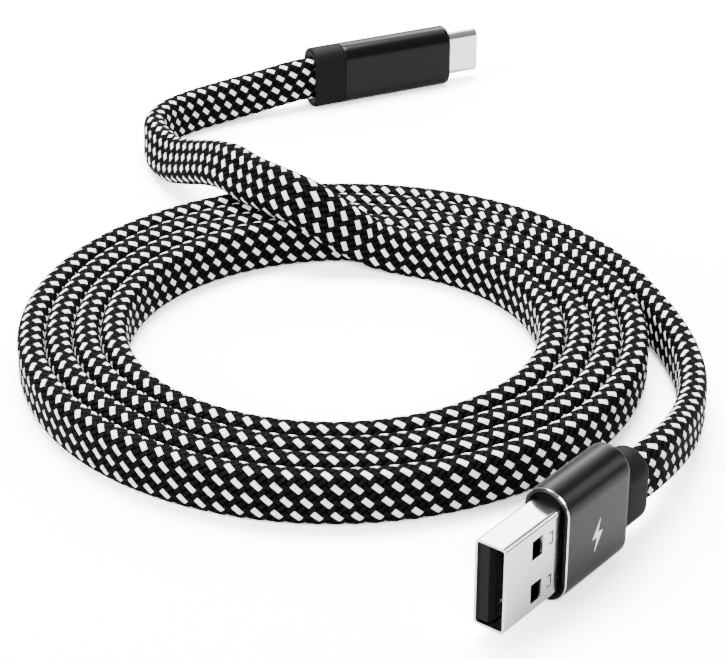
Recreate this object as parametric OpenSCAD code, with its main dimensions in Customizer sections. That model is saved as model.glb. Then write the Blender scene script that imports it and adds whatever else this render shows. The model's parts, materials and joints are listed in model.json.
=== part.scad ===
// Braided charging cable: a standard-A plug and a C plug joined by a flat woven cord.
// The cord stands on its edge in a flat spiral coil. The C end crosses over the back of
// the coil and lies behind it, and the A end leaves the outside of the coil.
// Frame: origin at the centre of the coil on the surface it stands on, +Z up,
// +Y towards the C plug.

/* [Cord] */
// Width of the flat cord, which stands upright in the coil
cord_w = 8; // [7:0.5:8]
// Thickness of the flat cord, and the pitch of the coil's turns
cord_t = 4; // [3.5:0.1:4]
// Width of the soft inner jacket under the woven sleeve
jacket_w = 6.4; // [5.6:0.2:6.4]
// Thickness of the soft inner jacket
jacket_t = 2.4; // [2:0.1:2.6]

/* [Coil] */
// Radius of the cord's centreline where the coil starts, at the back
coil_r = 30; // [30:1:32]
// Number of full turns
coil_turns = 4; // [4:1:4]

/* [A plug] */
// Width of the steel shell, which stands upright
a_shell_w = 12; // [11.9:0.05:12.1]
// Thickness of the steel shell
a_shell_t = 4.5; // [4.4:0.05:4.6]
// Length of shell that shows in front of the housing
a_shell_out = 11.6; // [11.6:0.2:12.6]
// Width of the aluminium housing, which stands upright
a_body_w = 16; // [15.8:0.2:17]
// Thickness of the aluminium housing
a_body_t = 6.6; // [6.4:0.1:7]
// Length of the aluminium housing
a_body_l = 13.8; // [13.8:0.2:16]
// Length of the rubber boot behind the housing
a_boot_l = 5.1; // [4:0.1:6]
// Direction that the plug's tail points, seen from above
a_yaw = 51.6; // [51:0.1:52]

/* [C plug] */
// Width of the steel shell
c_shell_w = 8.25; // [8.2:0.01:8.3]
// Thickness of the steel shell
c_shell_t = 2.4; // [2.35:0.01:2.45]
// Length of shell that shows in front of the housing
c_shell_out = 6.65; // [6.6:0.05:6.8]
// Width of the aluminium housing
c_body_w = 11.2; // [11:0.1:12]
// Thickness of the aluminium housing
c_body_t = 6; // [5.8:0.1:6.4]
// Length of the aluminium housing
c_body_l = 22; // [22:0.5:24]
// Length of the collar behind the housing
c_collar_l = 6; // [5:0.5:7]
// Direction that the plug's tip points, seen from above
c_yaw = 26; // [25.5:0.5:26.5]

/* [Hidden] */
$fn = 64;

gap = 0.02;                 // seat clearance all round a piece that sits in another
seam = 0.15;                // space between the end of the woven sleeve and the plug

// Cord routes: x, y, z of the centreline and the lean of the cord's upright width, in
// degrees towards its left. Both run from the coil to their plug.
ROUTE_C = [
    [10.3, 28.4, 4, 0], [4.8, 29.7, 5.1, -4], [-0.6, 30.3, 8.1, -14], [-5.6, 31.6, 11, -24],
    [-10.4, 34.8, 11.9, -32], [-14.8, 39.6, 11.8, -36], [-18.6, 45.2, 11.5, -38],
    [-22.2, 51.2, 9.6, -38], [-25.9, 57.4, 7, -34], [-29.4, 63.8, 4.8, -26],
    [-32.2, 70.2, 4.1, -14], [-33.4, 76.6, 4, 0], [-31.6, 82.6, 4, 0], [-27.6, 87.4, 4, 0],
    [-22.6, 91.4, 4.1, 0], [-17.2, 94.6, 4.5, 0], [-11.9, 97.2, 5.2, 0], [-9.2, 98.5, 5.5, 0],
    [-6.6, 99.8, 5.6, 0]
];
ROUTE_A = [
    [45.2, 12.1, 4, 0], [47.6, 4, 4, 0], [49.2, -3.8, 4, 0], [49.8, -11.4, 4.1, 0],
    [49.3, -18.8, 4.4, 0], [47.8, -25.6, 5, 0], [45.7, -31.8, 5.9, 0], [43.2, -37.4, 7, 0],
    [40.6, -42.2, 7.8, 0], [38.9, -44.6, 8, 0], [37.4, -46.5, 8, 0]
];
SIDES = 10;                 // sides of the plain cord solids
RINGS_C = 26;               // rings along the C tail
RINGS_A = 13;               // rings along the A tail

// A plug, from its tip at x = 0 towards its tail; y is its thickness and z its width.
// The tail ends where ROUTE_A ends.
a_tail_at = [for (i = [0:2]) ROUTE_A[len(ROUTE_A) - 1][i]];
a_body_x = a_shell_out;
a_boot_x = a_body_x + a_body_l;
a_end_x = a_boot_x + a_boot_l;
a_body_wall = 0.6;
a_shell_wall = 0.32;
a_shell_l = 19;
a_cap_x = a_body_x + 0.5;
a_mould_x = a_cap_x + 1.5;
a_flange_x = a_boot_x - 0.8;
a_boot_w = 10.6;
a_boot_t = 6.2;
a_hole = [2.2, 2.7];        // length and width of each window in the shell
a_hole_x = 6.5;
a_hole_z = 3.1;
a_tab_x = 8.9;              // front of the cut round each spring tab
a_pin_z = [-3.5, -1, 1, 3.5];
a_pin_w = 1;
a_pin_t = 0.15;
a_face_y = 0.05;            // inner face of the tongue
a_pin_y = a_face_y + 0.2;   // inner face of a contact, sunk in its channel
a_pin_end = 21;
a_block_x = 12;             // where the tongue thickens into its rear block
a_tongue_x = 0.35;
a_lead = [0.9, 0.35];       // length and depth of the slope on the tongue's front edge
a_tongue_l = 18.5;
a_wire_x = [19.3, 23.4];
a_wire_r = 0.5;
a_wire_y = -1;              // height of a wire's front end, under its contact
a_jacket_x = 23.7;

// C plug, from its tip at x = 0 towards its tail; y is its width and z its thickness.
// It stands on its edge, as the cord does, and its tail ends where ROUTE_C ends.
c_tail_at = [for (i = [0:2]) ROUTE_C[len(ROUTE_C) - 1][i]];
c_body_x = c_shell_out;
c_collar_x = c_body_x + c_body_l;
c_end_x = c_collar_x + c_collar_l;
c_body_r = 2.7;             // radius of the housing's long edges
c_body_wall = 0.7;
c_shell_wall = 0.25;
c_shell_l = 12;
c_cap_x = c_body_x + 0.35;
c_mould_x = c_cap_x + 1;
c_ins_x = [0.25, 8.5];      // front and back of the insulator
c_slot = [6.7, 0.8];        // mouth that takes the socket's tongue
c_slot_l = 6.8;
c_pins = 12;
c_pin_pitch = 0.5;
c_pin_w = 0.26;
c_pin_z = 0.42;             // inner face of a contact row
c_pin_t = 0.14;
c_pin_x = [1.1, 9.6];
c_channel = [0.3, 0.78];    // width and outer height of a contact's channel
c_latch_y = 3.37;
c_latch_t = 0.2;
c_board_x = [8.7, 17.5];
c_board = [7.2, 0.8];
c_shield_x = [12.05, 19];
c_shield = [8.4, 3];
c_wire_y = [-2.4, -0.8, 0.8, 2.4];
c_wire_r = 0.4;
c_jacket_x = 19.8;
crimp_wall = 0.48;

black_anodised = "#2b2c2e";
rubber_black = "#1d1e1f";
plastic_black = "#141415";
plated_steel = "#cfd1d3";
woven_black = "#161617";
contact_gold = "#d6b25a";

// ---- cord solids ----

function unit(v) = v / norm(v);

// Smooth point between the hand-chosen route points p1 and p2 (Catmull-Rom).
function between(p0, p1, p2, p3, t) =
    0.5 * (2 * p1 + (p2 - p0) * t + (2 * p0 - 5 * p1 + 4 * p2 - p3) * t * t
    + (3 * p1 - p0 - 3 * p2 + p3) * t * t * t);

function at(route, s) =
    let (n = len(route) - 1, i = min(floor(s * n), n - 1), t = s * n - i)
    between(
        i > 0 ? route[i - 1] : 2 * route[0] - route[1], route[i], route[i + 1],
        i + 2 <= n ? route[i + 2] : 2 * route[n] - route[n - 1], t
    );

function xyz(p) = [p[0], p[1], p[2]];

// Outline of the flat cord, as points along its width and its thickness.
function outline(w, t, n) = [
    for (end = [1, -1], i = [0:n / 2 - 1])
        let (a = -80 + 160 * i / (n / 2 - 1))
        [end * ((w - t) / 2 + cos(a) * t / 2), end * sin(a) * t / 2]
];

function ring(route, s) =
    let (
        p = at(route, s), d = 0.004,
        along = unit(xyz(at(route, min(s + d, 1))) - xyz(at(route, max(s - d, 0)))),
        left = unit([-along[1], along[0], 0]),
        lean = cos(p[3]) * [0, 0, 1] + sin(p[3]) * left,
        wide = unit(lean - (lean * along) * along),
        thin = cross(along, wide)
    )
    [for (q = outline(cord_w, cord_t, SIDES)) xyz(p) + q[0] * wide + q[1] * thin];

module cord_tube(route, rings) {
    points = [for (k = [0:rings]) each ring(route, k / rings)];
    last = rings * SIDES;
    faces = [
        [for (j = [0:SIDES - 1]) SIDES - 1 - j],
        for (k = [0:rings - 1], j = [0:SIDES - 1], half = [0, 1])
            let (a = k * SIDES + j, b = k * SIDES + (j + 1) % SIDES)
            half == 0 ? [a, b, b + SIDES] : [a, b + SIDES, a + SIDES],
        [for (j = [0:SIDES - 1]) last + j]
    ];
    polyhedron(points, [for (f = faces) [for (i = [len(f) - 1:-1:0]) f[i]]], convexity = 6);
}

module cord_coil() {
    inner = coil_r - cord_t / 2;
    outer = coil_r + cord_t * (coil_turns + 0.5);
    color(woven_black) rotate_extrude()
        translate([(inner + outer) / 2, cord_w / 2])
            rounded_outline(outer - inner, cord_w, cord_t / 2);
}

module cord_tail_a() {
    color(woven_black) cord_tube(ROUTE_A, RINGS_A);
}

module cord_tail_c() {
    color(woven_black) cord_tube(ROUTE_C, RINGS_C);
}

// ---- shared shapes ----

module rounded_outline(w, h, r) {
    square([w - 2 * r, h], center = true);
    square([w, h - 2 * r], center = true);
    for (x = [-1, 1], y = [-1, 1])
        translate([x * (w / 2 - r), y * (h / 2 - r)]) circle(r);
}

// Round-ended outline, w along the first axis and t across it.
module oblong(w, t) {
    square([w - t, t], center = true);
    for (x = [-1, 1]) translate([x * (w - t) / 2, 0]) circle(d = t);
}

// The same outline with its width along the second axis.
module upright_oblong(w, t) {
    rotate(90) oblong(w, t);
}

// Stretches an outline drawn in y and z from x0 to x1.
module along_x(x0, x1) {
    translate([x0, 0, 0]) rotate([90, 0, 90]) linear_extrude(height = x1 - x0) children();
}

module block(x, y, z) {
    translate([x[0], y[0], z[0]]) cube([x[1] - x[0], y[1] - y[0], z[1] - z[0]]);
}

// The two ends of a width centred on c.
function about(c, width) = [c - width / 2, c + width / 2];

// Round rod from one point to another.
module rod(p, q, r) {
    d = q - p;
    translate(p) rotate([0, acos(d[2] / norm(d)), atan2(d[1], d[0])]) cylinder(h = norm(d), r = r);
}

module place_a() {
    translate(a_tail_at) rotate([0, 0, a_yaw]) translate([-a_end_x - seam, 0, 0]) children();
}

module place_c() {
    translate(c_tail_at) rotate([0, 0, 180 + c_yaw]) rotate([-90, 0, 0])
        translate([-c_end_x - seam, 0, 0]) children();
}

// ---- A plug ----

module a_shell_outline(grow) {
    rounded_outline(a_shell_t + 2 * grow, a_shell_w + 2 * grow, 0.6 + grow);
}

// C-shaped cut that frees a small spring tab in the shell.
module tab_cut() {
    difference() {
        block([0, 0.9], [-4, 4], [-0.9, 0.9]);
        block([-1, 0.65], [-5, 5], [-0.65, 0.65]);
    }
}

module usb_a_shell() {
    color(plated_steel) place_a() difference() {
        along_x(0, a_shell_l) difference() {
            a_shell_outline(0);
            rounded_outline(a_shell_t - 2 * a_shell_wall, a_shell_w - 2 * a_shell_wall, 0.3);
        }
        for (z = [-1, 1]) {
            translate([a_hole_x, 0, z * a_hole_z]) cube([a_hole[0], 10, a_hole[1]], center = true);
            translate([a_tab_x, 0, z * a_hole_z]) tab_cut();
        }
    }
}

module usb_a_tongue() {
    inner_y = a_shell_t / 2 - a_shell_wall - gap;
    half_w = a_shell_w / 2 - a_shell_wall - 0.24;
    color(plastic_black) place_a() difference() {
        union() {
            translate([0, 0, -half_w]) linear_extrude(height = 2 * half_w) polygon([
                [a_tongue_x, a_face_y + a_lead[1]], [a_tongue_x + a_lead[0], a_face_y],
                [a_tongue_l, a_face_y], [a_tongue_l, inner_y], [a_tongue_x, inner_y]
            ]);
            block([a_block_x, a_tongue_l], [-inner_y, inner_y], [-half_w, half_w]);
        }
        for (z = a_pin_z) block(
            [a_pin_start(z) - gap, a_tongue_l + 1], [a_face_y - gap, a_pin_y + a_pin_t + gap],
            about(z, a_pin_w + 2 * gap)
        );
    }
}

// The two outer contacts, which carry power, reach further forward.
function a_pin_start(z) = abs(z) > 2 ? 2.2 : 3.2;

module usb_a_contacts() {
    color(contact_gold) place_a() for (z = a_pin_z)
        block([a_pin_start(z), a_pin_end], [a_pin_y, a_pin_y + a_pin_t], about(z, a_pin_w));
}

module a_inside(grow) {
    upright_oblong(a_body_w - 2 * a_body_wall + 2 * grow, a_body_t - 2 * a_body_wall + 2 * grow);
}

module usb_a_front_cap() {
    color(plastic_black) place_a() along_x(a_cap_x, a_mould_x) difference() {
        a_inside(-gap);
        a_shell_outline(gap);
    }
}

module usb_a_inner_mould() {
    color(plastic_black) place_a() difference() {
        along_x(a_mould_x, a_flange_x) a_inside(-gap);
        along_x(a_mould_x - 1, a_shell_l + gap) a_shell_outline(gap);
        block([a_shell_l - 1, a_flange_x + 1], [-1.9, 1.9], [-4.4, 4.4]);
    }
}

module usb_a_housing() {
    color(black_anodised) place_a() along_x(a_body_x, a_boot_x) difference() {
        upright_oblong(a_body_w, a_body_t);
        a_inside(0);
    }
}

module usb_a_boot() {
    color(rubber_black) place_a() difference() {
        union() {
            along_x(a_flange_x, a_boot_x) a_inside(-gap);
            along_x(a_boot_x, a_end_x) upright_oblong(a_boot_w, a_boot_t);
        }
        along_x(a_flange_x - 1, a_end_x + 1) upright_oblong(jacket_w + 2 * gap, jacket_t + 2 * gap);
    }
}

module usb_a_crimp() {
    color("silver") place_a() along_x(a_jacket_x, a_flange_x - gap) difference() {
        upright_oblong(jacket_w + 2 * crimp_wall, jacket_t + 2 * crimp_wall);
        upright_oblong(jacket_w + 2 * gap, jacket_t + 2 * gap);
    }
}

module usb_a_jacket_end() {
    color("dimgray") place_a() along_x(a_jacket_x, a_end_x) upright_oblong(jacket_w, jacket_t);
}

// Wire number i, fanned out from the jacket to its contact.
module a_wire(i) {
    place_a()
        rod([a_wire_x[0], a_wire_y, a_pin_z[i]], [a_wire_x[1], 0, (i - 1.5) * 1.5], a_wire_r);
}

module usb_a_power_wire() { color("red") a_wire(3); }
module usb_a_data_minus_wire() { color("white") a_wire(2); }
module usb_a_data_plus_wire() { color("green") a_wire(1); }
module usb_a_ground_wire() { color("black") a_wire(0); }

// ---- C plug ----

module usb_c_shell() {
    color(plated_steel) place_c() along_x(0, c_shell_l) difference() {
        oblong(c_shell_w, c_shell_t);
        oblong(c_shell_w - 2 * c_shell_wall, c_shell_t - 2 * c_shell_wall);
    }
}

function c_pin_y(i) = (i - (c_pins - 1) / 2) * c_pin_pitch;

module usb_c_insulator() {
    inset = 2 * (c_shell_wall + gap);
    color(plastic_black) place_c() difference() {
        along_x(c_ins_x[0], c_ins_x[1]) oblong(c_shell_w - inset, c_shell_t - inset);
        block([-1, c_slot_l], [-c_slot[0] / 2, c_slot[0] / 2], [-c_slot[1] / 2, c_slot[1] / 2]);
        for (i = [0:c_pins - 1]) block(
            [c_pin_x[0] - 0.1, 10], about(c_pin_y(i), c_channel[0]), [-1, 1] * c_channel[1]
        );
        for (side = [-1, 1]) scale([1, side, 1])
            block([1, 10], [c_slot[0] / 2 - 0.1, 3.78], [-0.32, 0.32]);
    }
}

// One row of spring contacts, each with a raised contact point near its tip.
module c_contact_row(side) {
    for (i = [0:c_pins - 1]) scale([1, 1, side]) {
        block(c_pin_x, about(c_pin_y(i), c_pin_w), [c_pin_z, c_pin_z + c_pin_t]);
        block([1.6, 2.3], about(c_pin_y(i), c_pin_w), [c_pin_z - 0.12, c_pin_z]);
    }
}

module usb_c_contacts_upper() { color(contact_gold) place_c() c_contact_row(1); }
module usb_c_contacts_lower() { color(contact_gold) place_c() c_contact_row(-1); }

// Side spring with a hook that holds the plug in its socket.
module c_latch(side) {
    scale([1, side, 1]) {
        block([1.2, 8.5], [c_latch_y, c_latch_y + c_latch_t], [-0.28, 0.28]);
        block([1.8, 2.4], [c_latch_y - 0.18, c_latch_y], [-0.28, 0.28]);
    }
}

module usb_c_latch_left() { color(plated_steel) place_c() c_latch(-1); }
module usb_c_latch_right() { color(plated_steel) place_c() c_latch(1); }

module usb_c_board() {
    color("darkgreen") place_c()
        block(c_board_x, about(0, c_board[0]), about(0, c_board[1]));
}

module usb_c_chips() {
    color("dimgray") place_c() {
        block([12.6, 13.6], [-2, -1.5], [c_board[1] / 2, 0.75]);
        block([12.6, 14.2], [0.6, 2.2], [c_board[1] / 2, 1]);
    }
}

module usb_c_rear_shield() {
    color("silver") place_c() along_x(c_shield_x[0], c_shield_x[1]) difference() {
        rounded_outline(c_shield[0], c_shield[1], 0.5);
        rounded_outline(c_shield[0] - 0.4, c_shield[1] - 0.4, 0.3);
    }
}

module c_inside(grow) {
    rounded_outline(c_body_w - 2 * c_body_wall + 2 * grow, c_body_t - 2 * c_body_wall + 2 * grow,
        c_body_r - c_body_wall + grow);
}

module usb_c_front_cap() {
    color(plastic_black) place_c() along_x(c_cap_x, c_mould_x) difference() {
        c_inside(-gap);
        oblong(c_shell_w + 2 * gap, c_shell_t + 2 * gap);
    }
}

module usb_c_inner_mould() {
    crimp_end = c_jacket_x + 2.4;
    color(plastic_black) place_c() difference() {
        along_x(c_mould_x, c_collar_x) c_inside(-gap);
        along_x(c_mould_x - 1, c_shell_l + gap) oblong(c_shell_w + 2 * gap, c_shell_t + 2 * gap);
        along_x(c_shell_l - gap, crimp_end)
            rounded_outline(c_shield[0] + 2 * gap, jacket_t + 2 * crimp_wall + 2 * gap, 0.5);
        along_x(crimp_end - 1, c_collar_x + 1) oblong(jacket_w + 2 * gap, jacket_t + 2 * gap);
    }
}

module usb_c_housing() {
    color(black_anodised) place_c() along_x(c_body_x, c_collar_x) difference() {
        rounded_outline(c_body_w, c_body_t, c_body_r);
        c_inside(0);
    }
}

module usb_c_collar() {
    color(rubber_black) place_c() along_x(c_collar_x, c_end_x) difference() {
        rounded_outline(c_body_w, c_body_t, c_body_r);
        oblong(jacket_w + 2 * gap, jacket_t + 2 * gap);
    }
}

module usb_c_crimp() {
    color("silver") place_c() along_x(c_jacket_x, c_jacket_x + 2) difference() {
        oblong(jacket_w + 2 * crimp_wall, jacket_t + 2 * crimp_wall);
        oblong(jacket_w + 2 * gap, jacket_t + 2 * gap);
    }
}

module usb_c_jacket_end() {
    color("dimgray") place_c() along_x(c_jacket_x, c_end_x) oblong(jacket_w, jacket_t);
}

// Wire number i, from its pad on the board to the jacket.
module c_wire(i) {
    z = c_board[1] / 2 + c_wire_r + gap;
    place_c() rod([16.2, c_wire_y[i], z], [c_jacket_x - gap, c_wire_y[i], z], c_wire_r);
}

module usb_c_power_wire() { color("red") c_wire(3); }
module usb_c_data_minus_wire() { color("white") c_wire(2); }
module usb_c_data_plus_wire() { color("green") c_wire(1); }
module usb_c_ground_wire() { color("black") c_wire(0); }

cord_coil();
cord_tail_a();
cord_tail_c();
usb_a_shell();
usb_a_tongue();
usb_a_contacts();
usb_a_front_cap();
usb_a_inner_mould();
usb_a_housing();
usb_a_boot();
usb_a_crimp();
usb_a_jacket_end();
usb_a_power_wire();
usb_a_data_minus_wire();
usb_a_data_plus_wire();
usb_a_ground_wire();
usb_c_shell();
usb_c_insulator();
usb_c_contacts_upper();
usb_c_contacts_lower();
usb_c_latch_left();
usb_c_latch_right();
usb_c_board();
usb_c_chips();
usb_c_rear_shield();
usb_c_front_cap();
usb_c_inner_mould();
usb_c_housing();
usb_c_collar();
usb_c_crimp();
usb_c_jacket_end();
usb_c_power_wire();
usb_c_data_minus_wire();
usb_c_data_plus_wire();
usb_c_ground_wire();
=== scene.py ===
"""Looks for a flat woven charging cable that stands on its edge in a spiral coil.

The woven sleeve is one path cut into three pieces: the coil, and a tail to each plug. The
plugs keep their CAD pieces where those are plain metal or plastic, and get finished
housings, boots, collars and front caps in place of the plain ones.
"""

import json
import logging
import math
from dataclasses import dataclass, field
from enum import Enum

import bpy
import numpy as np
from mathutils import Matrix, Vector


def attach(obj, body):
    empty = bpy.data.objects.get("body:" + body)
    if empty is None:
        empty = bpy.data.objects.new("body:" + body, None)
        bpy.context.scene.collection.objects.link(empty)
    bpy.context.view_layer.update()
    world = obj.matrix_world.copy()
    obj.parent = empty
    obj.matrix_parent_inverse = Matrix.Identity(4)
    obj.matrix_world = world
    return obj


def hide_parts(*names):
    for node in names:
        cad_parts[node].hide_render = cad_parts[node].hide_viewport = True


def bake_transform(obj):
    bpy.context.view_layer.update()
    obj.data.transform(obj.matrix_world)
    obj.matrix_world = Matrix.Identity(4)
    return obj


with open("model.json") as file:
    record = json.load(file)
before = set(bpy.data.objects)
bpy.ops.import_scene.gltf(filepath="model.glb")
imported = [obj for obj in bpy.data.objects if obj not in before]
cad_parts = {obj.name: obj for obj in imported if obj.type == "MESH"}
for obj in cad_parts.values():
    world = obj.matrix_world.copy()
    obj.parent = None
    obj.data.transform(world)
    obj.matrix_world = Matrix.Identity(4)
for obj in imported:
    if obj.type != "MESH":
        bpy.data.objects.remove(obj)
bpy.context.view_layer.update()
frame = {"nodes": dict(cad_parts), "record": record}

MM = 0.001
log = logging.getLogger("cable")


class Body(Enum):
    """The moving bodies of the cable."""

    CORD = "cord"
    A_PLUG = "usb_a"
    C_PLUG = "usb_c"


# ---- nodes and colours ----


def linear(code: str) -> tuple[float, float, float, float]:
    """Turns an sRGB hex colour into linear RGBA.

    Args:
        code: the colour as "#rrggbb".

    Returns:
        Linear red, green, blue and an alpha of 1.
    """
    parts = [int(code[i : i + 2], 16) / 255 for i in (1, 3, 5)]
    low = [c / 12.92 if c <= 0.04045 else ((c + 0.055) / 1.055) ** 2.4 for c in parts]
    return (*low, 1.0)


def add_node(tree: bpy.types.NodeTree, kind: str, inputs: dict | None = None, **settings):
    """Adds one node with its settings and its inputs.

    Args:
        tree: the node tree that gets the node.
        kind: the node's type.
        inputs: values or output sockets for its input sockets, by name or number.
        settings: the node's own properties.

    Returns:
        The new node.
    """
    node = tree.nodes.new(kind)
    for name, value in settings.items():
        setattr(node, name, value)
    for key, value in (inputs or {}).items():
        if isinstance(value, bpy.types.NodeSocket):
            tree.links.new(value, node.inputs[key])
        else:
            node.inputs[key].default_value = value
    return node


def new_surface(name: str, surface: dict) -> tuple[bpy.types.Material, bpy.types.Node]:
    """Makes a material that holds one Principled shader.

    Args:
        name: the material's name.
        surface: values for the shader's inputs, by name.

    Returns:
        The material and its shader node.
    """
    material = bpy.data.materials.new(name)
    material.use_nodes = True
    material.node_tree.nodes.clear()
    shader = add_node(material.node_tree, "ShaderNodeBsdfPrincipled", surface)
    add_node(material.node_tree, "ShaderNodeOutputMaterial", {"Surface": shader.outputs[0]})
    return material, shader


# ---- finishes ----


@dataclass(frozen=True)
class Grain:
    """A fine even grain that shifts roughness a little and lifts the surface slightly."""

    spacing_mm: float
    lift_mm: float
    rough_low: float
    rough_high: float
    stretch: tuple[float, float, float] = (1.0, 1.0, 1.0)

    def dress(self, material: bpy.types.Material, shader: bpy.types.Node) -> None:
        """Adds the grain to a material.

        Args:
            material: the material that gets it.
            shader: that material's Principled shader.
        """
        tree = material.node_tree
        place = add_node(tree, "ShaderNodeTexCoord")
        scaled = add_node(
            tree, "ShaderNodeMapping", {"Vector": place.outputs["Object"], "Scale": self.stretch}
        )
        grain = add_node(
            tree,
            "ShaderNodeTexNoise",
            {"Vector": scaled.outputs[0], "Scale": 1 / (self.spacing_mm * MM), "Detail": 3.0},
        )
        rough = add_node(
            tree,
            "ShaderNodeMapRange",
            {"Value": grain.outputs[0], "To Min": self.rough_low, "To Max": self.rough_high},
        )
        lift = add_node(
            tree,
            "ShaderNodeBump",
            {"Height": grain.outputs[0], "Strength": 1.0, "Distance": self.lift_mm * MM},
        )
        tree.links.new(rough.outputs[0], shader.inputs["Roughness"])
        tree.links.new(lift.outputs[0], shader.inputs["Normal"])


@dataclass(frozen=True)
class Metal:
    """A bare, plated or anodised metal. Metals keep the shader's default IOR."""

    name: str
    colour: str
    grain: Grain
    metallic: float = 1.0

    def make(self) -> bpy.types.Material:
        """Returns the material."""
        material, shader = new_surface(
            self.name, {"Base Color": linear(self.colour), "Metallic": self.metallic}
        )
        self.grain.dress(material, shader)
        return material


@dataclass(frozen=True)
class Moulding:
    """A moulded or extruded plastic or rubber."""

    name: str
    colour: str
    grain: Grain
    ior: float = 1.5
    gloss: float = 0.5

    def make(self) -> bpy.types.Material:
        """Returns the material."""
        surface = {
            "Base Color": linear(self.colour),
            "IOR": self.ior,
            "Specular IOR Level": self.gloss,
        }
        material, shader = new_surface(self.name, surface)
        self.grain.dress(material, shader)
        return material


# Bright nickel plate over drawn steel: mirror-like, softened by the strip's rolling marks.
NICKEL_PLATE = Metal(
    "bright_nickel_plate", "#e2e3e4", Grain(0.25, 0.0006, 0.12, 0.2, (0.15, 0.15, 1.0))
)
# Black dye in a bead-blasted oxide layer: satin, with broad soft highlights.
BLACK_ANODISE = Metal(
    "black_anodised_aluminium", "#191919", Grain(0.09, 0.001, 0.26, 0.34), metallic=0.9
)
# The edge cut bare after anodising: a thin bright line round the mouth of the housing.
CUT_ALUMINIUM = Metal("diamond_cut_aluminium", "#f2f3f4", Grain(0.3, 0.0002, 0.12, 0.2))
# A laser burns the dye out of the oxide: a flat pale grey, a little rougher than the rest.
LASER_MARK = Metal("laser_marked_oxide", "#d9dadb", Grain(0.08, 0.001, 0.42, 0.55), metallic=0.3)
# Thin gold flash on spring bronze: warm and smooth. Its colour is set darker than true gold by
# choice, as painted shade, so that the contacts stay quiet deep in the shell.
GOLD_FLASH = Metal("gold_flash", "#ab9252", Grain(0.2, 0.0003, 0.18, 0.28))
# Tin dip on folded steel: pale and soft.
TIN_DIP = Metal("tin_dipped_steel", "#c9cbcc", Grain(0.3, 0.002, 0.35, 0.5))
# Thermoplastic elastomer from a textured mould: dark with a dull, wide sheen.
MOULDED_ELASTOMER = Moulding(
    "moulded_elastomer", "#0a0a0a", Grain(0.12, 0.004, 0.5, 0.62), gloss=0.07
)
# Glass-filled nylon insulator: dark grey, dull, with a faint moulded texture.
MOULDED_NYLON = Moulding(
    "moulded_nylon", "#0e0e0e", Grain(0.15, 0.002, 0.42, 0.55), 1.53, gloss=0.07
)
# Polycarbonate face plate: near black with a clean gloss.
MOULDED_POLYCARBONATE = Moulding(
    "moulded_polycarbonate", "#060606", Grain(0.4, 0.0004, 0.5, 0.58), 1.58, gloss=0.02
)
# Soft PVC jacket under the sleeve: mid grey and dull.
EXTRUDED_JACKET = Moulding("extruded_pvc_jacket", "#5b5c5d", Grain(0.3, 0.003, 0.45, 0.6), 1.53)
# Epoxy solder resist over a glass-cloth board: green and glossy.
SOLDER_RESIST = Moulding("solder_resist", "#1d5134", Grain(0.4, 0.002, 0.2, 0.35), 1.55)
# Transfer-moulded epoxy chip body: dark grey and matt.
CHIP_EPOXY = Moulding("chip_epoxy", "#3a3a3c", Grain(0.1, 0.002, 0.5, 0.65), 1.55)


def insulation(name: str, colour: str) -> Moulding:
    """Returns extruded wire insulation, smooth with a soft gloss, in the wire's colour."""
    return Moulding(name, colour, Grain(0.5, 0.001, 0.3, 0.42), 1.53)


@dataclass(frozen=True)
class Weave:
    """The braid of the sleeve: how its yarns lie along and around the cord, in mm.

    Pale floats stand in a staggered pattern. The black floats fill the places between
    them, half of them slanting the other way.
    """

    pitch: float = 2.52  # from one pale float to the next along the cord
    rows: int = 10  # rows of pale floats round the cord
    girth: float = 20.57
    slant_deg: float = 43.0
    float_l: float = 1.46
    float_w: float = 0.78
    relief: float = 0.24

    @property
    def row(self) -> float:
        """Distance between neighbouring rows round the cord."""
        return self.girth / self.rows

    def crown(self, u: np.ndarray, v: np.ndarray, at: tuple[float, float], slant: float):
        """Height, from 0 to 1, of one staggered set of floats.

        Args:
            u: places along the cord.
            v: places round the cord.
            at: where one float of the set has its middle.
            slant: how steeply its floats climb round the cord, in degrees.

        Returns:
            An array like u and v.
        """
        m = np.round((v - at[1]) / self.row)
        x = u - at[0] - np.mod(m, 2) * self.pitch / 2
        x = x - np.round(x / self.pitch) * self.pitch
        y = v - at[1] - m * self.row
        turn = math.radians(slant)
        along = (x * math.cos(turn) + y * math.sin(turn)) / (0.62 * self.float_l)
        across = (y * math.cos(turn) - x * math.sin(turn)) / (0.62 * self.float_w)
        return np.sqrt(np.clip(1 - across**2, 0, 1)) * np.clip(1 - along**4, 0, 1)

    def height(self, u: np.ndarray, v: np.ndarray) -> np.ndarray:
        """Height of the braid's surface above the sleeve's lowest level, in mm.

        Args:
            u: places along the cord.
            v: places round the cord.

        Returns:
            An array like u and v.
        """
        half, quarter = self.pitch / 2, self.pitch / 4
        sets = [
            self.crown(u, v, (0, 0), self.slant_deg),
            0.9 * self.crown(u, v, (half, 0), self.slant_deg),
            0.8 * self.crown(u, v, (quarter, self.row / 2), -self.slant_deg),
            0.8 * self.crown(u, v, (half + quarter, self.row / 2), -self.slant_deg),
        ]
        return self.relief * np.maximum.reduce(sets)


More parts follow.
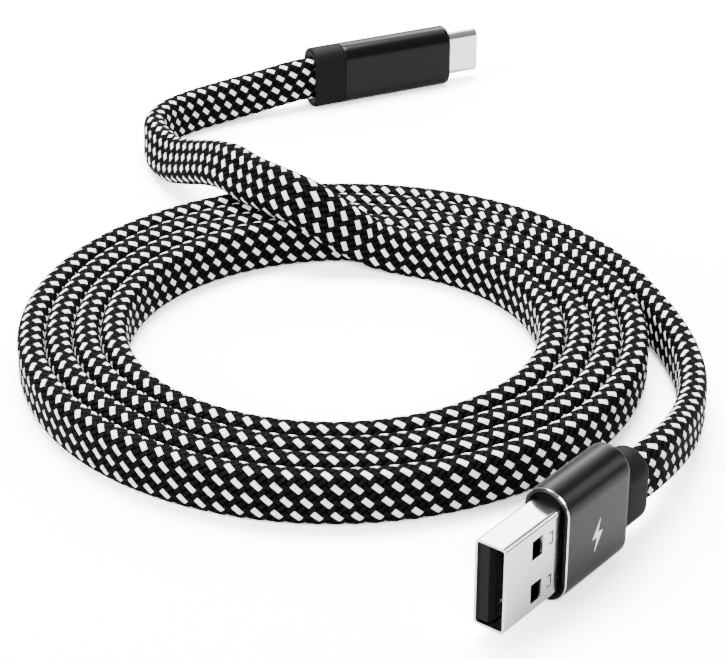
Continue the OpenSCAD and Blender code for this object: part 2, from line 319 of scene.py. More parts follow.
@dataclass(frozen=True)
class WovenNylon:
    """Tight nylon braid: matt black yarn with white floats that catch the light, with painted
    glints along the black strands and painted shade between strands and in the gaps between floats.
    """

    weave: Weave
    # Painted shade: the pure black of the gaps between the floats.
    gap: str = "#000000"
    black: str = "#020202"
    # Painted glint: the grey that the crest of each black strand is lifted to.
    black_painted_glint: str = "#2c2c2e"
    white: str = "#ffffff"
    # Painted shade: the grey that a white float falls to between its strands.
    white_painted_shade: str = "#c9c9c7"
    strand_mm: float = 0.26  # real filaments are finer; three to a float, so that they show
    soft_mm: float = 0.06
    crest: float = 3.0  # how narrow the painted glint along a black strand is
    bands_per_unit: float = 20.0  # the wave texture's own bands, in radians per unit

    def own_places(
        self, tree: bpy.types.NodeTree, u, v, pitch: float, lag: float, at: tuple, slant: float
    ):
        """Adds the nodes that measure from the middle of the nearest float.

        Args:
            tree: the material's nodes.
            u: socket with the place along the cord.
            v: socket with the place round the cord.
            pitch: distance between the floats of one row.
            lag: how far each row is shifted from the one before it.
            at: where one of the floats has its middle.
            slant: how steeply the floats climb round the cord, in degrees.

        Returns:
            The node whose output runs along the float in x and across it in y.
        """
        row = self.weave.row
        v0 = add_node(tree, "ShaderNodeMath", {0: v, 1: at[1]}, operation="SUBTRACT")
        y = add_node(
            tree, "ShaderNodeMath", {0: v0.outputs[0], 1: row / 2, 2: -row / 2}, operation="WRAP"
        )
        level = add_node(
            tree, "ShaderNodeMath", {0: v0.outputs[0], 1: y.outputs[0]}, operation="SUBTRACT"
        )
        u0 = add_node(tree, "ShaderNodeMath", {0: u, 1: at[0]}, operation="SUBTRACT")
        shifted = add_node(
            tree,
            "ShaderNodeMath",
            {0: level.outputs[0], 1: -lag / row, 2: u0.outputs[0]},
            operation="MULTIPLY_ADD",
        )
        x = add_node(
            tree,
            "ShaderNodeMath",
            {0: shifted.outputs[0], 1: pitch / 2, 2: -pitch / 2},
            operation="WRAP",
        )
        place = add_node(tree, "ShaderNodeCombineXYZ", {0: x.outputs[0], 1: y.outputs[0]})
        return add_node(
            tree,
            "ShaderNodeVectorRotate",
            {"Vector": place.outputs[0], "Angle": -math.radians(slant)},
            rotation_type="Z_AXIS",
        )

    def inside(self, tree: bpy.types.NodeTree, place: bpy.types.Node, half_l: float, half_w: float):
        """Adds the nodes that tell whether a place is on its float.

        Args:
            tree: the material's nodes.
            place: the node from own_places.
            half_l: half the float's length.
            half_w: half the float's width.

        Returns:
            The node that gives 1 on the float and 0 off it.
        """
        own = add_node(tree, "ShaderNodeSeparateXYZ", {0: place.outputs[0]})
        sides = []
        for side, half in ((0, half_l), (1, half_w)):
            far = add_node(tree, "ShaderNodeMath", {0: own.outputs[side]}, operation="ABSOLUTE")
            reach = {
                "Value": far.outputs[0],
                "From Min": half - self.soft_mm,
                "From Max": half + self.soft_mm,
                "To Min": 1.0,
                "To Max": 0.0,
            }
            sides.append(
                add_node(tree, "ShaderNodeMapRange", reach, interpolation_type="SMOOTHSTEP")
            )
        return add_node(
            tree,
            "ShaderNodeMath",
            {0: sides[0].outputs[0], 1: sides[1].outputs[0]},
            operation="MULTIPLY",
        )

    def strands(self, tree: bpy.types.NodeTree, place: bpy.types.Node) -> bpy.types.Node:
        """Adds the strands that run along each float.

        Args:
            tree: the material's nodes.
            place: the node from own_places.

        Returns:
            The node whose Fac places the strands' painted glint and painted shade, and their bump.
        """
        wave = {
            "Vector": place.outputs[0],
            "Scale": math.tau / (self.bands_per_unit * self.strand_mm),
            "Distortion": 0.8,
            "Detail": 2.0,
            "Detail Scale": 1.5,
        }
        return add_node(tree, "ShaderNodeTexWave", wave, bands_direction="Y")

    def mix(self, tree: bpy.types.NodeTree, factor, low, high) -> bpy.types.NodeSocket:
        """Returns the output of a colour mix, from low at 0 to high at 1."""
        return add_node(
            tree, "ShaderNodeMix", {0: factor, 6: low, 7: high}, data_type="RGBA"
        ).outputs[2]

    def make(self) -> bpy.types.Material:
        """Returns the material, drawn from the sleeve's own map of places in mm."""
        weave = self.weave
        half = weave.pitch / 2
        # The gaps between filaments swallow most of the yarn's own gloss.
        surface = {"IOR": 1.53, "Roughness": 0.62, "Specular IOR Level": 0.01}
        material, shader = new_surface("woven_nylon_sleeve", surface)
        tree = material.node_tree
        place = add_node(tree, "ShaderNodeUVMap", uv_map=SLEEVE_MAP)
        uv = add_node(tree, "ShaderNodeSeparateXYZ", {0: place.outputs[0]})
        u, v = uv.outputs[0], uv.outputs[1]

        # White floats stand in a staggered pattern. Black ones with the same slant lie
        # between them in each row, and black ones with the other slant between the rows.
        slant = weave.slant_deg
        pale = self.own_places(tree, u, v, weave.pitch, half, (0, 0), slant)
        along = self.own_places(tree, u, v, half, 0, (0, 0), slant)
        cross = self.own_places(tree, u, v, half, 0, (half / 2, weave.row / 2), -slant)
        on_pale = self.inside(tree, pale, weave.float_l / 2, weave.float_w / 2)
        on_along = self.inside(tree, along, weave.float_l * 0.4, weave.float_w * 0.4)
        on_cross = self.inside(tree, cross, weave.float_l * 0.44, weave.float_w * 0.4)
        strands = [self.strands(tree, spot).outputs["Fac"] for spot in (pale, cross)]
        fuzz = add_node(
            tree,
            "ShaderNodeTexNoise",
            {"Vector": place.outputs[0], "Scale": 1.7, "Detail": 5.0, "Roughness": 0.7},
        )
        # Painted glint: the black yarns run from black up to a grey glint on each strand's crest.
        yarn = [
            self.mix(
                tree,
                add_node(
                    tree, "ShaderNodeMath", {0: strand, 1: self.crest}, operation="POWER"
                ).outputs[0],
                linear(self.black),
                linear(self.black_painted_glint),
            )
            for strand in strands
        ]
        # Painted shade: off the black floats, the ground takes the gap's shade colour.
        ground = self.mix(tree, on_along.outputs[0], linear(self.gap), yarn[0])
        ground = self.mix(tree, on_cross.outputs[0], ground, yarn[1])
        # Random patches of the painted gap shade over the black yarns.
        mottled_ground = self.mix(tree, fuzz.outputs[0], linear(self.gap), ground)
        # Painted shade: each white float runs from full white on its strands' crests to grey
        # between them.
        white = self.mix(tree, strands[0], linear(self.white_painted_shade), linear(self.white))
        colour = self.mix(tree, on_pale.outputs[0], mottled_ground, white)
        lift = add_node(
            tree,
            "ShaderNodeBump",
            {"Height": strands[0], "Strength": 0.6, "Distance": 0.04 * MM},
        )
        tree.links.new(colour, shader.inputs["Base Color"])
        tree.links.new(lift.outputs[0], shader.inputs["Normal"])
        return material


# ---- meshes ----

SLEEVE_MAP = "sleeve_mm"


def new_piece(name: str, points: np.ndarray, faces: list, smooth: bool = True):
    """Makes a mesh object from points and faces.

    Args:
        name: the piece's name.
        points: its vertices, in metres in the row frame.
        faces: vertex numbers of each face.
        smooth: whether its faces are shaded smooth.

    Returns:
        The new object, linked into the scene.
    """
    mesh = bpy.data.meshes.new(name)
    mesh.from_pydata(np.asarray(points).tolist(), [], faces)
    mesh.polygons.foreach_set("use_smooth", [smooth] * len(mesh.polygons))
    mesh.update()
    piece = bpy.data.objects.new(name, mesh)
    bpy.context.scene.collection.objects.link(piece)
    return piece


def tube_faces(rings: int, sides: int, loop: bool = False) -> list[tuple[int, ...]]:
    """Faces between rings of vertices that stand in a row.

    Args:
        rings: how many rings there are.
        sides: how many vertices each ring has.
        loop: whether the last ring joins the first; otherwise both ends are capped.

    Returns:
        Vertex numbers of each face.
    """
    faces = []
    for k in range(rings if loop else rings - 1):
        a, b = k * sides, (k + 1) % rings * sides
        for j in range(sides):
            i = (j + 1) % sides
            faces.append((a + j, a + i, b + i, b + j))
    if not loop:
        faces.append(tuple(range(sides - 1, -1, -1)))
        faces.append(tuple((rings - 1) * sides + j for j in range(sides)))
    return faces


@dataclass(frozen=True)
class RoundedOutline:
    """A rectangle with rounded corners, y across and z up, in mm."""

    y: float
    z: float
    radius: float
    steps: int = 12

    def ring(self, x: float, inset: float) -> np.ndarray:
        """The outline at a place along the plug, pulled in by inset.

        Args:
            x: the place along the plug.
            inset: how far the outline is pulled in.

        Returns:
            Points as rows of x, y and z.
        """
        points = []
        for corner, (sy, sz) in enumerate(((1, 1), (-1, 1), (-1, -1), (1, -1))):
            for step in range(self.steps + 1):
                angle = math.pi / 2 * (corner + step / self.steps)
                reach = self.radius - inset
                points.append(
                    (
                        x,
                        sy * (self.y / 2 - self.radius) + reach * math.cos(angle),
                        sz * (self.z / 2 - self.radius) + reach * math.sin(angle),
                    )
                )
        return np.array(points)

    @property
    def sides(self) -> int:
        """How many points a ring has."""
        return 4 * (self.steps + 1)


def rounding(x: float, radius: float, end: int, steps: int = 5) -> list[tuple[float, float]]:
    """Profile of a rounded end edge.

    Args:
        x: where the end face is.
        radius: radius of the edge.
        end: 1 if the end face looks towards +x, and -1 if it looks towards -x.
        steps: how many steps the edge has.

    Returns:
        Pairs of x and inset, in the order of growing x.
    """
    angles = [math.pi / 2 * i / steps for i in range(steps + 1)]
    pairs = [
        (x - end * radius * (1 - math.sin(a)), radius * (1 - math.cos(a))) for a in angles
    ]
    return pairs if end > 0 else pairs[::-1]


# ---- the sleeve ----


@dataclass(frozen=True)
class Route:
    """A free stretch of cord from the coil to a plug.

    Each point has x, y, z in mm and the lean of the cord's upright width, in degrees
    towards its left.
    """

    points: tuple[tuple[float, float, float, float], ...]
    before: tuple[float, float, float, float]
    after: tuple[float, float, float, float]

    def smooth(self, per_span: int = 60) -> np.ndarray:
        """Returns close points along the smooth curve, each with its lean."""
        knots = np.array([self.before, *self.points, self.after])
        t = np.linspace(0, 1, per_span, endpoint=False)[:, None]
        spans = []
        for p0, p1, p2, p3 in zip(knots, knots[1:], knots[2:], knots[3:]):
            spans.append(
                0.5
                * (
                    2 * p1
                    + (p2 - p0) * t
                    + (2 * p0 - 5 * p1 + 4 * p2 - p3) * t**2
                    + (3 * p1 - p0 - 3 * p2 + p3) * t**3
                )
            )
        return np.vstack([*spans, knots[-2]])


def unit(rows: np.ndarray) -> np.ndarray:
    """Returns each row scaled to length 1."""
    return rows / np.linalg.norm(rows, axis=-1, keepdims=True)


@dataclass(frozen=True)
class Stretch:
    """Part of the cord's centreline: points and the directions of the cord's width."""

    centres: np.ndarray
    wides: np.ndarray

    @property
    def reach(self) -> np.ndarray:
        """Distance of each point from the first, along the line."""
        steps = np.linalg.norm(np.diff(self.centres, axis=0), axis=1)
        return np.concatenate([[0.0], np.cumsum(steps)])

    @property
    def length(self) -> float:
        """Length of the line."""
        return float(self.reach[-1])

    def evenly(self, step: float) -> "Stretch":
        """Returns the same stretch with points about step apart."""
        reach = self.reach
        marks = np.linspace(0, reach[-1], max(2, round(reach[-1] / step)) + 1)

        def resample(rows: np.ndarray) -> np.ndarray:
            return np.stack([np.interp(marks, reach, rows[:, i]) for i in range(3)], axis=1)

        return Stretch(resample(self.centres), unit(resample(self.wides)))

    def reversed(self) -> "Stretch":
        """Returns the stretch run the other way."""
        return Stretch(self.centres[::-1], self.wides[::-1])


@dataclass
class WovenCord:
    """The flat woven sleeve: a coil on its edge and a tail to each plug. Sizes in mm."""

    width: float = 8.0
    thickness: float = 4.0
    coil_r: float = 30.0
    coil_pitch: float = 4.0
    coil_start_deg: float = 20.0
    coil_end_deg: float = 4 * 360 + 75
    centre_z: float = 4.0
    ring_step: float = 0.32
    sides: int = 66
    tuck: float = 1.1  # how far the sleeve runs into the boot and the collar
    weave: Weave = field(default_factory=Weave)

    route_c: tuple = (
        (10.3, 28.4, 4, 0), (4.8, 29.7, 5.1, -4), (-0.6, 30.3, 8.1, -14), (-5.6, 31.6, 11, -24),
        (-10.4, 34.8, 11.9, -32), (-14.8, 39.6, 11.8, -36), (-18.6, 45.2, 11.5, -38),
        (-22.2, 51.2, 9.6, -38), (-25.9, 57.4, 7, -34), (-29.4, 63.8, 4.8, -26),
        (-32.2, 70.2, 4.1, -14), (-33.4, 76.6, 4, 0), (-31.6, 82.6, 4, 0), (-27.6, 87.4, 4, 0),
        (-22.6, 91.4, 4.1, 0), (-17.2, 94.6, 4.5, 0), (-11.9, 97.2, 5.2, 0), (-9.2, 98.5, 5.5, 0),
        (-6.6, 99.8, 5.6, 0),
    )  # fmt: skip
    route_a: tuple = (
        (45.2, 12.1, 4, 0), (47.6, 4, 4, 0), (49.2, -3.8, 4, 0), (49.8, -11.4, 4.1, 0),
        (49.3, -18.8, 4.4, 0), (47.8, -25.6, 5, 0), (45.7, -31.8, 5.9, 0), (43.2, -37.4, 7, 0),
        (40.6, -42.2, 7.8, 0), (38.9, -44.6, 8, 0), (37.4, -46.5, 8, 0),
    )  # fmt: skip

    def on_coil(self, degrees: np.ndarray) -> np.ndarray:
        """Returns points of the spiral at angles clockwise from the back."""
        turn = np.radians(degrees)
        r = self.coil_r + self.coil_pitch * turn / math.tau
        return np.stack([r * np.sin(turn), r * np.cos(turn), np.full_like(r, self.centre_z)], 1)

    def coil(self) -> Stretch:
        """Returns the coil, from the C end to the A end."""
        degrees = np.arange(self.coil_start_deg, self.coil_end_deg + 0.01, 0.5)
        centres = self.on_coil(degrees)
        return Stretch(centres, np.tile([0.0, 0.0, 1.0], (len(centres), 1)))

    def tail(self, points: tuple, step_deg: float, start_deg: float, axis: Vector) -> Stretch:
        """Works out the free stretch from the coil to a plug.

        Args:
            points: its listed points.
            step_deg: angle from the coil's end back along the coil to the point before.
            start_deg: angle of the coil's end.
            axis: direction in which the cord enters the plug.

        Returns:
            The stretch from the coil to a little way inside the plug.
        """
        before = (*self.on_coil(np.array([start_deg + step_deg]))[0], points[0][3])
        end = np.array(points[-1])
        last_step = np.linalg.norm(end[:3] - np.array(points[-2][:3]))
        after = (*(end[:3] + np.array(axis) * last_step), end[3])
        rows = Route(points, before, after).smooth()
        inside = np.array([*(end[:3] + np.array(axis) * self.tuck), end[3]])
        rows = np.vstack([rows, inside])
        along = unit(np.gradient(rows[:, :3], axis=0))
        left = unit(np.stack([-along[:, 1], along[:, 0], np.zeros(len(rows))], axis=1))
        lean = np.radians(rows[:, 3:4])
        up = np.cos(lean) * np.array([0.0, 0.0, 1.0]) + np.sin(lean) * left
        wides = unit(up - np.sum(up * along, axis=1, keepdims=True) * along)
        return Stretch(rows[:, :3], wides)

    def outline(self) -> tuple[np.ndarray, np.ndarray]:
        """Works out the sleeve's cross-section.

        Returns:
            Points along the width and the thickness, and the directions straight out of
            the surface there, evenly spaced round the sleeve from the lower outer edge.
        """
        r = self.thickness / 2
        flat = self.width - self.thickness
        girth = 2 * flat + math.tau * r
        points, outwards = [], []
        for side in range(self.sides):
            s = girth * side / self.sides
            if s < flat:
                points.append((s - flat / 2, -r))
                outwards.append((0.0, -1.0))
            elif s < flat + math.pi * r:
                a = (s - flat) / r
                outwards.append((math.sin(a), -math.cos(a)))
                points.append((flat / 2 + r * math.sin(a), -r * math.cos(a)))
            elif s < 2 * flat + math.pi * r:
                points.append((flat / 2 - (s - flat - math.pi * r), r))
                outwards.append((0.0, 1.0))
            else:
                a = (s - 2 * flat - math.pi * r) / r
                outwards.append((-math.sin(a), math.cos(a)))
                points.append((-flat / 2 - r * math.sin(a), r * math.cos(a)))
        return np.array(points), np.array(outwards)

    def sleeve(self, name: str, stretch: Stretch, start: float) -> bpy.types.Object:
        """Builds the woven surface of a stretch, with its map of places in mm.

        Args:
            name: the piece's name.
            stretch: its centreline.
            start: distance of its first point along the whole cord.

        Returns:
            The piece.
        """
        reach = start + stretch.reach
        along = unit(np.gradient(stretch.centres, axis=0))
        wides = unit(
            stretch.wides - np.sum(stretch.wides * along, axis=1, keepdims=True) * along
        )
        thins = np.cross(along, wides)
        points, outwards = self.outline()
        around = self.weave.girth * np.arange(self.sides) / self.sides
        height = self.weave.height(*np.meshgrid(reach, around, indexing="ij"))
        out = height - self.weave.relief
        flat = points[None] + out[:, :, None] * outwards[None]
        rows = (
            stretch.centres[:, None]
            + flat[:, :, :1] * wides[:, None]
            + flat[:, :, 1:] * thins[:, None]
        )
        faces = tube_faces(len(rows), self.sides)
        piece = new_piece(name, rows.reshape(-1, 3) * MM, faces)

        # The map goes on past the seam instead of jumping back to the start.
        corners = np.empty(len(piece.data.loops), dtype=np.int64)
        piece.data.loops.foreach_get("vertex_index", corners)
        ring, side = corners // self.sides, corners % self.sides
        v = around[side]
        quads = (len(rows) - 1) * self.sides * 4
        wraps = np.zeros(len(corners), dtype=bool)
        wraps[:quads] = np.repeat(side[:quads].reshape(-1, 4)[:, 0] == self.sides - 1, 4)
        v = np.where(wraps & (side == 0), self.weave.girth, v)
        layer = piece.data.uv_layers.new(name=SLEEVE_MAP)
        layer.data.foreach_set("uv", np.stack([reach[ring], v], axis=1).ravel())
        return piece

    def build(self, a_plug: "Plug", c_plug: "Plug", finish: WovenNylon) -> None:
        """Args:
            a_plug: the plug at the outer end.
            c_plug: the plug at the inner end.
            finish: the sleeve's finish.
        """
        material = finish.make()
        coil = self.coil().evenly(self.ring_step)
        tail_a = self.tail(self.route_a, -10, self.coil_end_deg, a_plug.inwards)
        tail_c = self.tail(self.route_c, 10, self.coil_start_deg, c_plug.inwards)
        tail_a = tail_a.evenly(self.ring_step)
        tail_c = tail_c.evenly(self.ring_step).reversed()
        starts = (0.0, tail_c.length, tail_c.length + coil.length)
        pieces = {
            "woven_tail_c": (tail_c, starts[0], c_plug, "cord_tail_c"),
            "woven_coil": (coil, starts[1], None, "cord_coil"),
            "woven_tail_a": (tail_a, starts[2], a_plug, "cord_tail_a"),
        }
        for name, (stretch, start, plug, node) in pieces.items():
            piece = self.sleeve(name, stretch, start)
            piece.data.materials.append(material)
            path = stretch.centres * MM
            if plug is None:
                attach(piece, Body.CORD.value)
            else:
                if plug is c_plug:
                    path = path[::-1]
                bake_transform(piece)  # fmt: skip
                plug.solids()  # fmt: skip
            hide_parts(node)
            log.info("%s: %.1f mm of sleeve", name, stretch.length)


# ---- the plugs ----

CORD_FIT = (8.1, 4.1)  # width and height of the opening that the cord enters, in mm
PRESS_GAP = 0.02  # gap between a housing and the piece pressed into it, in mm
CAP_EDGE = 0.08  # chamfer on a front cap's outer edge, in mm


@dataclass
class Plug:
    """A plug on the end of the cord. Its own x runs from its tip to its tail, in mm."""

    body: Body
    tail: tuple[float, float, float]
    yaw_deg: float
    roll_deg: float
    shell_out: float
    housing_l: float
    tail_l: float
    seam: float = 0.15
    replaced: set = field(default_factory=set)
    shown: list = field(default_factory=list)

    @property
    def length(self) -> float:
        """Length from the tip to the end of the boot or collar."""
        return self.shell_out + self.housing_l + self.tail_l

    @property
    def axes(self) -> np.ndarray:
        """The plug's own x, y and z in the row frame, as rows."""
        yaw, roll = math.radians(self.yaw_deg), math.radians(self.roll_deg)
        x = np.array([math.cos(yaw), math.sin(yaw), 0.0])
        side = np.array([-math.sin(yaw), math.cos(yaw), 0.0])
        up = np.array([0.0, 0.0, 1.0])
        y = math.cos(roll) * side + math.sin(roll) * up
        return np.stack([x, y, np.cross(x, y)])

    @property
    def inwards(self) -> Vector:
        """Direction in which the cord enters the plug."""
        return Vector(-self.axes[0])

    def place(self, points: np.ndarray) -> np.ndarray:
        """Turns the plug's own places in mm into places in the row frame in metres."""
        own = np.asarray(points) - np.array([self.length + self.seam, 0.0, 0.0])
        return (np.array(self.tail) + own @ self.axes) * MM

    def front_cap(
        self,
        name: str,
        bore: RoundedOutline,
        mouth: RoundedOutline,
        recess: float,
        reach: float,
        node: str,
    ) -> None:
        """Builds the ring that closes the housing's front round the shell.

        Args:
            name: name of the piece.
            bore: outline of the ring's outside.
            mouth: outline of the opening that the shell passes through.
            recess: how far the ring sits behind the housing's edge, in mm.
            reach: how far back the ring's far face lies, in mm.
            node: the CAD node that the ring replaces.
        """
        front = self.shell_out
        cap = self.loft(
            name,
            bore,
            [(front + reach, 0), (front + recess + CAP_EDGE, 0), (front + recess, CAP_EDGE)],
            loop=True,
            opening=mouth,
            depths=(front + recess, front + reach),
        )
        cap.data.materials.append(MOULDED_POLYCARBONATE.make())
        self.finish(cap, "black_plastic", node)

    def loft(
        self,
        name: str,
        outline: RoundedOutline,
        profile: list,
        loop: bool = False,
        opening: RoundedOutline | None = None,
        depths: tuple[float, ...] = (),
    ) -> bpy.types.Object:
        """Builds a piece by drawing an outline along the plug.

        Args:
            name: the piece's name.
            outline: its outline.
            profile: pairs of x and inset.
            loop: whether the last ring joins the first, as in a hollow piece.
            opening: outline of an opening that the last ring leads into.
            depths: the opening's places along the plug.

        Returns:
            The piece.
        """
        rings = [outline.ring(x, inset) for x, inset in profile]
        rings += [opening.ring(x, 0) for x in depths]
        piece = new_piece(
            name, self.place(np.vstack(rings)), tube_faces(len(rings), outline.sides, loop)
        )
        piece.data.set_sharp_from_angle(angle=math.radians(35))
        self.shown.append(piece)
        return piece

    def solids(self) -> list[bpy.types.Object]:
        """Returns the plug's CAD solids that no piece here stands for."""
        return [
            piece
            for node, piece in sorted(frame["nodes"].items())
            if node.startswith(self.body.value) and node not in self.replaced
        ]

    def finish(self, piece: bpy.types.Object, slot: str, *nodes: str) -> None:
        """Rides a piece on the plug in place of the nodes it stands for.

        Args:
            piece: the piece.
            slot: its slot in the record; not used.
            nodes: the CAD nodes that it replaces.
        """
        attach(piece, self.body.value)
        if nodes:
            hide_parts(*nodes)
            self.replaced.update(nodes)
        log.info("%s: in place of %s", piece.name, ", ".join(nodes) or "nothing")


@dataclass
class APlug(Plug):
    """The plug at the outer end: steel shell, oblong aluminium housing and rubber boot."""

    housing_w: float = 16.0
    housing_t: float = 6.6
    wall: float = 0.6
    boot_w: float = 10.6
    boot_t: float = 6.2
    mark_h: float = 4.6
    mark_proud: float = 0.012

    def build(self) -> None:
        """Builds the housing, the boot and the printed mark."""
        front, rear = self.shell_out, self.shell_out + self.housing_l
        outline = RoundedOutline(self.housing_t, self.housing_w, self.housing_t / 2)
        cut = 0.13
        housing = self.loft(
            "a_housing_sleeve",
            outline,
            [
                (front, self.wall),
                (front, cut + 0.04),
                (front + 0.04, cut),
                (front + cut, 0.03),
                (front + cut + 0.04, 0),
                (rear - 1.0, 0),
                *rounding(rear, 0.45, 1),
                (rear, self.wall),
            ],
            loop=True,
        )
        housing.data.materials.append(BLACK_ANODISE.make())
        housing.data.materials.append(CUT_ALUMINIUM.make())
        for face in range(outline.sides, 3 * outline.sides):
            housing.data.polygons[face].material_index = 1
        self.finish(housing, "anodised_housing", "usb_a_housing")

        boot_outline = RoundedOutline(self.boot_t, self.boot_w, self.boot_t / 2)
        boot = self.loft(
            "a_boot_moulding",
            boot_outline,
            [
                (rear - 0.8, 0.2),
                (rear, 0),
                (self.length - 1.2, 0),
                *rounding(self.length, 0.6, 1),
            ],
            opening=RoundedOutline(CORD_FIT[1], CORD_FIT[0], CORD_FIT[1] / 2),
            depths=(self.length - 0.3, self.length - 1.5),
        )
        boot.data.materials.append(MOULDED_ELASTOMER.make())
        self.finish(boot, "boot_rubber", "usb_a_boot")
        bore = RoundedOutline(
            self.housing_t - 2 * self.wall - 2 * PRESS_GAP,
            self.housing_w - 2 * self.wall - 2 * PRESS_GAP,
            self.housing_t / 2 - self.wall - PRESS_GAP,
        )
        flange = self.loft(
            "a_boot_flange",
            bore,
            [(rear - 0.8, 0), (rear - 0.06, 0), (rear, 0.06)],
        )
        flange.data.materials.append(MOULDED_ELASTOMER.make())
        self.finish(flange, "boot_rubber")
        mouth = RoundedOutline(4.54, 12.04, 0.62)  # the shell's size and a press gap all round
        self.front_cap("a_front_cap", bore, mouth, 0.5, 2.0, "usb_a_front_cap")
        self.mark(front + 0.48 * self.housing_l)

    def mark(self, x: float) -> None:
        """Marks the near broad side with a plain charging bolt.

        Args:
            x: place of its middle along the plug.
        """
        half = [(0.55, self.mark_h / 2), (-1.15, -0.3), (-0.1, -0.3)]
        bolt = [*half, *[(-a, -b) for a, b in half]]
        points = [
            (x + a, -self.housing_t / 2 + depth, b - 0.6)
            for depth in (-self.mark_proud, self.mark_proud)
            for a, b in bolt
        ]
        mark = new_piece("a_charge_mark", self.place(points), tube_faces(2, len(bolt)), False)
        mark.data.materials.append(LASER_MARK.make())
        self.shown.append(mark)
        self.finish(mark, "anodised_housing")


@dataclass
class CPlug(Plug):
    """The plug at the inner end: steel shell, slim aluminium housing and matt collar."""

    housing_w: float = 11.2
    housing_t: float = 6.0
    edge_r: float = 2.7
    wall: float = 0.7

    def build(self) -> None:
        """Builds the housing and the collar."""
        front, rear = self.shell_out, self.shell_out + self.housing_l
        outline = RoundedOutline(self.housing_w, self.housing_t, self.edge_r)
        housing = self.loft(
            "c_housing_sleeve",
            outline,
            [
                (front, self.wall),
                *rounding(front, 0.22, -1, 3),
                (front + 1, 0),
                (rear - 1, 0),
                *rounding(rear - 0.05, 0.14, 1, 3),
                (rear - 0.05, self.wall),
            ],
            loop=True,
        )
        housing.data.materials.append(BLACK_ANODISE.make())
        self.finish(housing, "anodised_housing", "usb_c_housing")
        collar = self.loft(
            "c_collar_moulding",
            outline,
            [
                (rear, 0.5),
                *rounding(rear, 0.12, -1, 3),
                (self.length - 1.2, 0),
                *rounding(self.length, 0.6, 1),
            ],
            opening=RoundedOutline(*CORD_FIT, CORD_FIT[1] / 2),
            depths=(self.length - 0.3, self.length - 1.5),
        )
        collar.data.materials.append(MOULDED_ELASTOMER.make())
        self.finish(collar, "boot_rubber", "usb_c_collar")
        bore = RoundedOutline(
            self.housing_w - 2 * self.wall - 2 * PRESS_GAP,
            self.housing_t - 2 * self.wall - 2 * PRESS_GAP,
            self.edge_r - self.wall - PRESS_GAP,
        )
        mouth = RoundedOutline(8.29, 2.44, 1.22)  # the shell's size and a press gap all round
        self.front_cap("c_front_cap", bore, mouth, 0.35, 1.3, "usb_c_front_cap")


# ---- what stays as CAD ----

SLOT_FINISHES = {
    "plated_shell": NICKEL_PLATE,
    "black_insulator": MOULDED_NYLON,
    "black_plastic": MOULDED_POLYCARBONATE,
    "gold_contact": GOLD_FLASH,
    "anodised_housing": BLACK_ANODISE,
    "boot_rubber": MOULDED_ELASTOMER,
    "tinned_steel": TIN_DIP,
    "inner_jacket": EXTRUDED_JACKET,
    "circuit_board": SOLDER_RESIST,
    "chip_body": CHIP_EPOXY,
    "red_wire": insulation("red_insulation", "#b3261e"),
    "white_wire": insulation("white_insulation", "#dddddb"),
    "green_wire": insulation("green_insulation", "#2a7d3f"),
    "black_wire": insulation("black_insulation", "#19191a"),
}
SOFT_EDGE_MM = {"usb_a_shell": 0.05, "usb_c_shell": 0.06, "usb_a_tongue": 0.08}


def dress_cad(finishes: dict[str, Metal | Moulding]) -> None:
    """Gives every carried-over CAD piece its finish, and soft edges to those that show.

    Args:
        finishes: the finish of each slot in the record.
    """
    made = {slot: finish.make() for slot, finish in finishes.items()}
    for part in frame["record"]["subparts"]:
        node, slot = part["node"], part["material_slot"]
        piece = frame["nodes"][node]
        if slot not in made:
            continue
        piece.data.materials.clear()
        piece.data.materials.append(made[slot])
        if node in SOFT_EDGE_MM:
            edge = piece.modifiers.new("soft_edge", "BEVEL")
            edge.width = SOFT_EDGE_MM[node] * MM
            edge.segments = 2
            edge.limit_method = "ANGLE"
            edge.angle_limit = math.radians(40)
            edge.harden_normals = True


# ---- the studio ----


@dataclass
class Softbox:
    """A soft rectangular lamp, with sizes in metres."""

    name: str
    at: tuple[float, float, float]
    size: tuple[float, float]
    watts: float
    aim: tuple[float, float, float] = (0.0, 0.01, 0.0)

    def place(self) -> None:
        """Puts the lamp in the scene."""
        data = bpy.data.lights.new(self.name, "AREA")
        data.shape = "RECTANGLE"
        data.size, data.size_y = self.size
        data.energy = self.watts
        lamp = bpy.data.objects.new(self.name, data)
        lamp.location = self.at
        facing = Vector(self.aim) - Vector(self.at)
        lamp.rotation_euler = facing.to_track_quat("-Z", "Y").to_euler()
        bpy.context.scene.collection.objects.link(lamp)


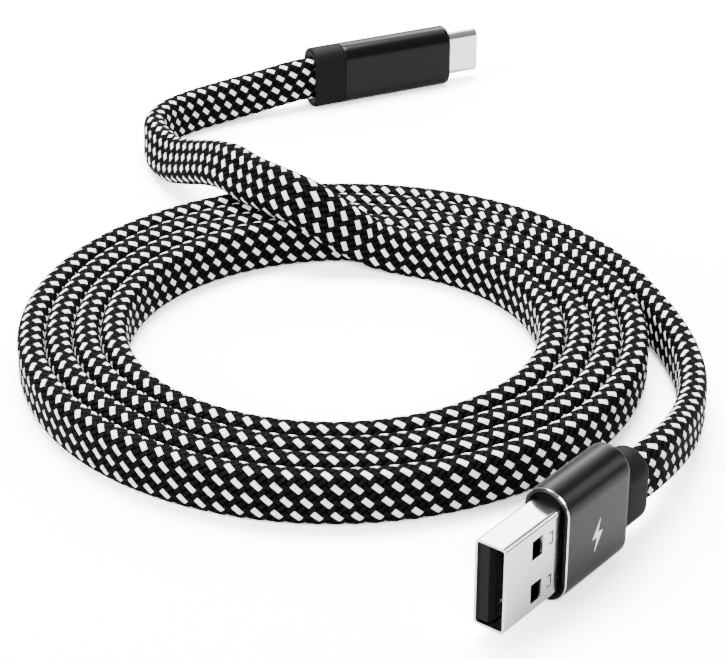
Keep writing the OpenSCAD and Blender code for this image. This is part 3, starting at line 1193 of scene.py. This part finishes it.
@dataclass
class Studio:
    """White floor, soft lamps and the camera."""

    aim: tuple[float, float, float] = (0.0034, 0.0099, 0.0)
    distance: float = 0.338
    elevation_deg: float = 27.8
    lens_mm: float = 110.48
    floor_half: float = 3.0
    floor_colour: str = "#c4c4c4"
    floor_glare: float = 2.8  # how much brighter the overexposed floor looks than it lights
    sky: float = 0.3
    softboxes: tuple = (
        Softbox("top_softbox", (-0.05, 0.2, 0.7), (0.5, 0.35), 22.0),
        Softbox("back_softbox", (0.0, 0.85, 0.5), (1.2, 0.3), 12.0),
        Softbox("left_softbox", (-0.6, -0.3, 0.4), (0.25, 0.5), 8.0),
        Softbox("right_strip", (0.6, 0.12, 0.3), (0.05, 0.4), 1.2),
        Softbox("front_fill", (0.1, -0.7, 0.45), (0.5, 0.3), 9.0),
    )

    def place_camera(self) -> None:
        """Puts the camera in front of the coil and above it."""
        camera = bpy.data.objects.new("camera", bpy.data.cameras.new("camera"))
        camera.data.lens = self.lens_mm
        camera.data.clip_start, camera.data.clip_end = 0.01, 20.0
        lift = math.radians(self.elevation_deg)
        camera.location = Vector(self.aim) + self.distance * Vector(
            (0.0, -math.cos(lift), math.sin(lift))
        )
        camera.rotation_euler = (math.pi / 2 - lift, 0.0, 0.0)
        bpy.context.scene.collection.objects.link(camera)
        bpy.context.scene.camera = camera

    def build(self) -> None:
        """Lays the floor and sets the light."""
        h = self.floor_half
        corners = np.array([(-h, -h, 0), (h, -h, 0), (h, h, 0), (-h, h, 0)])
        floor = new_piece("studio_floor", corners, [(0, 1, 2, 3)])
        paper, matt = new_surface(
            "white_paper", {"Base Color": linear(self.floor_colour), "Roughness": 0.9}
        )
        tree = paper.node_tree
        seen = add_node(tree, "ShaderNodeLightPath").outputs["Is Camera Ray"]
        glare = add_node(tree, "ShaderNodeBsdfDiffuse", {"Color": (*[self.floor_glare] * 3, 1)})
        both = add_node(
            tree, "ShaderNodeMixShader", {0: seen, 1: matt.outputs[0], 2: glare.outputs[0]}
        )
        output = next(n for n in tree.nodes if n.type == "OUTPUT_MATERIAL")
        tree.links.new(both.outputs[0], output.inputs["Surface"])
        floor.data.materials.append(paper)
        world = bpy.data.worlds.new("soft_sky")
        world.use_nodes = True
        world.node_tree.nodes["Background"].inputs["Color"].default_value = (1, 1, 1, 1)
        world.node_tree.nodes["Background"].inputs["Strength"].default_value = self.sky
        bpy.context.scene.world = world
        for softbox in self.softboxes:
            softbox.place()


def main() -> None:
    """Builds the cable and its studio."""
    logging.basicConfig(level=logging.INFO, format="%(name)s: %(message)s")
    studio = Studio()
    studio.place_camera()
    cord = WovenCord()
    a_plug = APlug(Body.A_PLUG, cord.route_a[-1][:3], 51.6, 0, 11.6, 13.8, 5.1)
    c_plug = CPlug(Body.C_PLUG, cord.route_c[-1][:3], 206, -90, 6.65, 22, 6)
    a_plug.build()
    c_plug.build()
    cord.build(a_plug, c_plug, WovenNylon(cord.weave))
    dress_cad(SLOT_FINISHES)
    studio.build()


if __name__ == "__main__":
    main()
